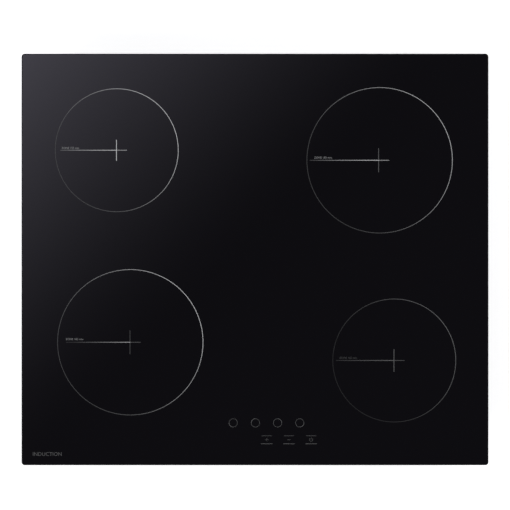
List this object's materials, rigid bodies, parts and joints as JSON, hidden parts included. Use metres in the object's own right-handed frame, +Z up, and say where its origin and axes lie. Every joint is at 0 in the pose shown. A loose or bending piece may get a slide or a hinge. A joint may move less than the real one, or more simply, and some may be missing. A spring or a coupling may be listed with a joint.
{
  "type": "built-in induction cooktop",
  "caption": "Built-in induction hob: black glass plate with cooking zones and a touch field, over a vented steel base with coil units, fans, mains box and worktop clamps.",
  "frame": {"origin": "middle of the base's underside", "axes": "+Z up through the glass, +Y to the back of the worktop, +X to the cook's right"},
  "size_m": [0.59, 0.52, 0.06],
  "materials": {
    "ceramic_glass": "polished black glass-ceramic with ground edges",
    "foam_seal": "closed-cell foam",
    "silicone": "cured silicone",
    "frame_steel": "black powder coat",
    "galvanised_steel": "galvanised sheet",
    "aluminium_sheet": "mill-finish sheet",
    "extruded_aluminium": "extruded",
    "black_plastic": "moulded, fine grain",
    "white_plastic": "moulded polyamide",
    "fan_plastic": "moulded",
    "impeller_plastic": "moulded",
    "carrier_plastic": "moulded, glass filled",
    "motor": "stamped laminations",
    "circuit_board": "solder mask on laminate",
    "touch_circuit": "black solder mask",
    "epoxy_package": "moulded epoxy",
    "capacitor_film": "moulded case",
    "enamelled_copper": "enamelled copper on a core",
    "litz_copper": "litz wire",
    "ferrite": "sintered",
    "insulation_felt": "fibre disc",
    "sensor_ceramic": "moulded cap",
    "spring_steel": "bright wire",
    "display_epoxy": "smoked epoxy",
    "ribbon_vinyl": "extruded vinyl",
    "grommet_rubber": "moulded",
    "zinc_screw": "zinc plated",
    "clamp_steel": "galvanised strip"
  },
  "bodies": {
    "root": {"base_tray": "galvanised_steel", "cable_grommet": "grommet_rubber", "capacitors": "capacitor_film", "coil_tray": "aluminium_sheet", "digit_displays": "display_epoxy", "fan_motors": "motor", "filter_board": "circuit_board", "filter_chokes": "enamelled_copper", "frame_screws": "zinc_screw", "front_left_coil_springs": "spring_steel", "front_right_coil_springs": "spring_steel", "glass_frame": "frame_steel", "glass_top": "ceramic_glass", "heatsinks": "extruded_aluminium", "left_fan_housing": "fan_plastic", "left_power_board": "circuit_board", "power_semiconductors": "epoxy_package", "rear_left_coil_springs": "spring_steel", "rear_right_coil_springs": "spring_steel", "ribbon_cable": "ribbon_vinyl", "right_fan_housing": "fan_plastic", "right_power_board": "circuit_board", "silicone_bead": "silicone", "terminal_block": "white_plastic", "terminal_box": "black_plastic", "touch_board": "touch_circuit", "touch_holder": "black_plastic", "touch_springs": "spring_steel", "worktop_seal": "foam_seal"},
    "rear_left_coil": {"rear_left_coil_carrier": "carrier_plastic", "rear_left_coil_winding": "litz_copper", "rear_left_coil_ferrites": "ferrite", "rear_left_coil_insulation": "insulation_felt", "rear_left_coil_sensor": "sensor_ceramic"},
    "front_left_coil": {"front_left_coil_carrier": "carrier_plastic", "front_left_coil_winding": "litz_copper", "front_left_coil_ferrites": "ferrite", "front_left_coil_insulation": "insulation_felt", "front_left_coil_sensor": "sensor_ceramic"},
    "rear_right_coil": {"rear_right_coil_carrier": "carrier_plastic", "rear_right_coil_winding": "litz_copper", "rear_right_coil_ferrites": "ferrite", "rear_right_coil_insulation": "insulation_felt", "rear_right_coil_sensor": "sensor_ceramic"},
    "front_right_coil": {"front_right_coil_carrier": "carrier_plastic", "front_right_coil_winding": "litz_copper", "front_right_coil_ferrites": "ferrite", "front_right_coil_insulation": "insulation_felt", "front_right_coil_sensor": "sensor_ceramic"},
    "left_impeller": {"left_fan_impeller": "impeller_plastic"},
    "right_impeller": {"right_fan_impeller": "impeller_plastic"},
    "front_left_bolt": {"front_left_clamp_screw": "zinc_screw"},
    "front_left_clamp": {"front_left_clamp_arm": "clamp_steel"},
    "rear_left_bolt": {"rear_left_clamp_screw": "zinc_screw"},
    "rear_left_clamp": {"rear_left_clamp_arm": "clamp_steel"},
    "front_right_bolt": {"front_right_clamp_screw": "zinc_screw"},
    "front_right_clamp": {"front_right_clamp_arm": "clamp_steel"},
    "rear_right_bolt": {"rear_right_clamp_screw": "zinc_screw"},
    "rear_right_clamp": {"rear_right_clamp_arm": "clamp_steel"},
    "terminal_lid": {"terminal_cover": "black_plastic"}
  },
  "joints": [
    {"name": "rear_left_coil_float", "type": "slide", "parent": "root", "child": "rear_left_coil", "axis": [0, 0, 1], "range_m": [-0.003, 0], "stiffness_N_per_m": 3000, "springref_m": 0.004, "deforming": ["rear_left_coil_springs"]},
    {"name": "front_left_coil_float", "type": "slide", "parent": "root", "child": "front_left_coil", "axis": [0, 0, 1], "range_m": [-0.003, 0], "stiffness_N_per_m": 3000, "springref_m": 0.004, "deforming": ["front_left_coil_springs"]},
    {"name": "rear_right_coil_float", "type": "slide", "parent": "root", "child": "rear_right_coil", "axis": [0, 0, 1], "range_m": [-0.003, 0], "stiffness_N_per_m": 3000, "springref_m": 0.004, "deforming": ["rear_right_coil_springs"]},
    {"name": "front_right_coil_float", "type": "slide", "parent": "root", "child": "front_right_coil", "axis": [0, 0, 1], "range_m": [-0.003, 0], "stiffness_N_per_m": 3000, "springref_m": 0.004, "deforming": ["front_right_coil_springs"]},
    {"name": "left_fan_spin", "type": "hinge", "parent": "root", "child": "left_impeller", "pos_m": [-0.082, 0.165, 0.015], "axis": [0, 0, 1], "continuous": true},
    {"name": "right_fan_spin", "type": "hinge", "parent": "root", "child": "right_impeller", "pos_m": [0.082, 0.165, 0.015], "axis": [0, 0, 1], "continuous": true},
    {"name": "front_left_clamp_take_up", "type": "slide", "parent": "root", "child": "front_left_bolt", "axis": [0, 0, 1], "range_m": [0, 0.009]},
    {"name": "front_left_clamp_swing", "type": "hinge", "parent": "front_left_bolt", "child": "front_left_clamp", "pos_m": [-0.258, -0.172, 0.007], "axis": [0, 0, 1], "range_deg": [0, 90]},
    {"name": "rear_left_clamp_take_up", "type": "slide", "parent": "root", "child": "rear_left_bolt", "axis": [0, 0, 1], "range_m": [0, 0.009]},
    {"name": "rear_left_clamp_swing", "type": "hinge", "parent": "rear_left_bolt", "child": "rear_left_clamp", "pos_m": [-0.258, 0.172, 0.007], "axis": [0, 0, -1], "range_deg": [0, 90]},
    {"name": "front_right_clamp_take_up", "type": "slide", "parent": "root", "child": "front_right_bolt", "axis": [0, 0, 1], "range_m": [0, 0.009]},
    {"name": "front_right_clamp_swing", "type": "hinge", "parent": "front_right_bolt", "child": "front_right_clamp", "pos_m": [0.258, -0.172, 0.007], "axis": [0, 0, -1], "range_deg": [0, 90]},
    {"name": "rear_right_clamp_take_up", "type": "slide", "parent": "root", "child": "rear_right_bolt", "axis": [0, 0, 1], "range_m": [0, 0.009]},
    {"name": "rear_right_clamp_swing", "type": "hinge", "parent": "rear_right_bolt", "child": "rear_right_clamp", "pos_m": [0.258, 0.172, 0.007], "axis": [0, 0, 1], "range_deg": [0, 90]},
    {"name": "terminal_lid_hinge", "type": "hinge", "parent": "root", "child": "terminal_lid", "pos_m": [0.192, 0.1782, 0.002], "axis": [-1, 0, 0], "range_deg": [0, 100]}
  ]
}
